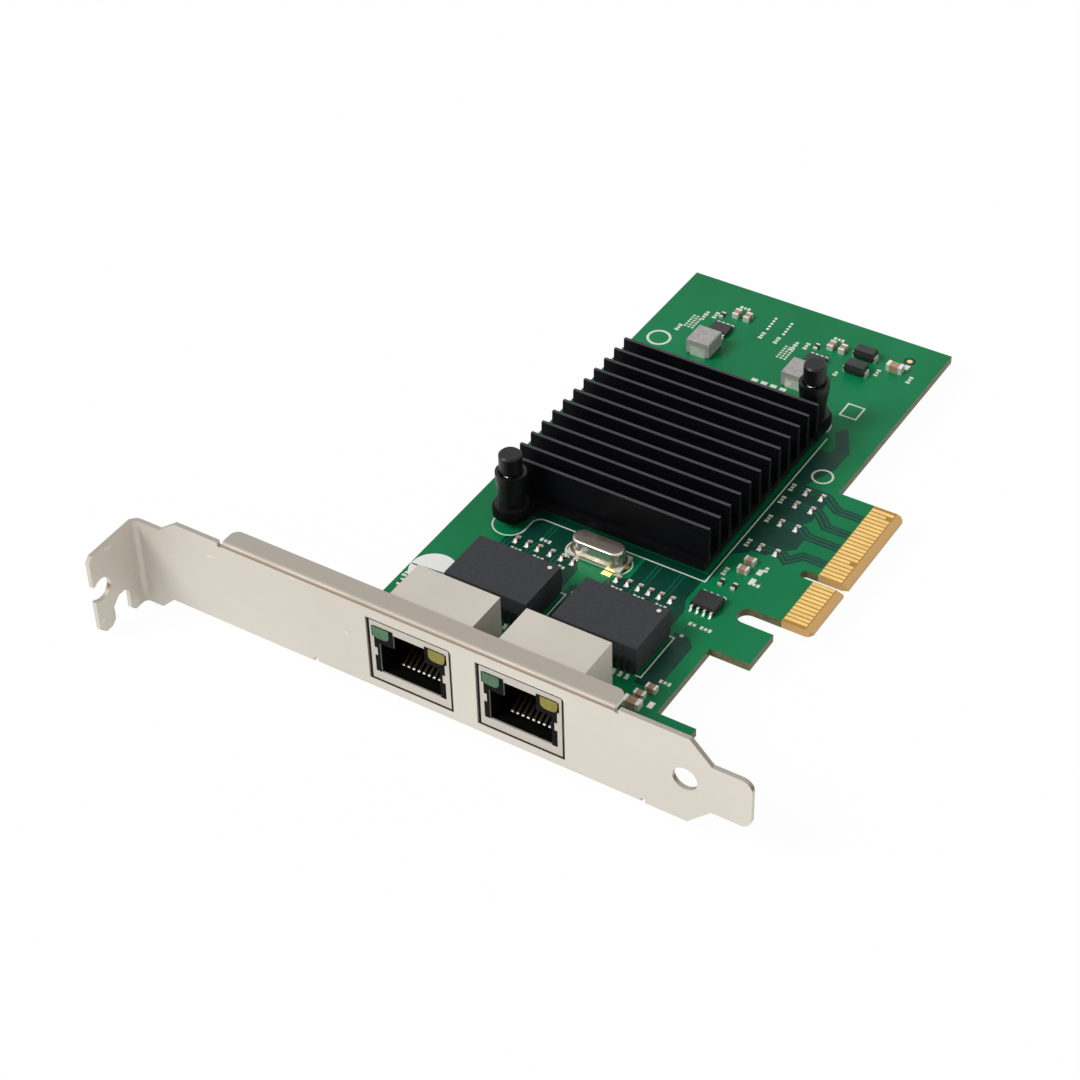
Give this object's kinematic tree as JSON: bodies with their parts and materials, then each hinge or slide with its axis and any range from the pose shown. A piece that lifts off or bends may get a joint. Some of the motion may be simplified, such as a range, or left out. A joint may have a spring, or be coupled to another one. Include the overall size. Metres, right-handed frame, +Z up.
{
  "type": "network interface card",
  "caption": "Low-profile expansion board with two network jacks, finned heatsink on spring push pins and a full-height slotted bracket.",
  "frame": {"origin": "Centre of the bounding box in X and Y, at its lowest point.", "axes": "X runs along the bracket towards its narrow lower tab, Y from the bracket into the board, Z up from the component side."},
  "size_m": [0.1212, 0.1416, 0.0213],
  "materials": {
    "board_green": "satin solder mask",
    "contact_gold": "gold plated",
    "bracket_metal": "satin nickel plate",
    "screw_steel": "zinc plated",
    "black_anodised": "black anodised",
    "pad_grey": "soft",
    "chip_black": "moulded",
    "pin_black": "satin nylon",
    "spring_steel": "bright",
    "module_black": "moulded",
    "lead_tin": "tin plated",
    "can_metal": "satin nickel",
    "inductor_grey": "pressed powder",
    "capacitor_tan": "fired ceramic",
    "sticker_white": "matt",
    "shield_metal": "satin nickel plate",
    "housing_black": "moulded",
    "light_green": "tinted lens",
    "light_yellow": "tinted lens"
  },
  "bodies": {
    "root": {"bracket": "bracket_metal", "bracket_screws": "screw_steel", "chip_capacitor_bodies": "capacitor_tan", "chip_capacitor_terminals": "lead_tin", "chip_resistor_bodies": "chip_black", "chip_resistor_terminals": "lead_tin", "circuit_board": "board_green", "controller_chip": "chip_black", "crystal_base": "chip_black", "crystal_can": "can_metal", "crystal_feet": "lead_tin", "diode_bodies": "chip_black", "diode_leads": "lead_tin", "edge_contacts_bottom": "contact_gold", "edge_contacts_top": "contact_gold", "heatsink": "black_anodised", "inductor_bodies": "inductor_grey", "inductor_terminals": "lead_tin", "jack_left_activity_light": "light_yellow", "jack_left_contacts": "contact_gold", "jack_left_housing": "housing_black", "jack_left_link_light": "light_green", "jack_left_shield": "shield_metal", "jack_right_activity_light": "light_yellow", "jack_right_contacts": "contact_gold", "jack_right_housing": "housing_black", "jack_right_link_light": "light_green", "jack_right_shield": "shield_metal", "memory_chip_body": "chip_black", "memory_chip_leads": "lead_tin", "push_pin_barrels": "pin_black", "push_pin_plungers": "pin_black", "push_pin_springs": "spring_steel", "regulator_bodies": "chip_black", "regulator_leads": "lead_tin", "round_sticker": "sticker_white", "thermal_pad": "pad_grey", "transformer_left_body": "module_black", "transformer_left_leads": "lead_tin", "transformer_right_body": "module_black", "transformer_right_leads": "lead_tin"}
  },
  "joints": []
}
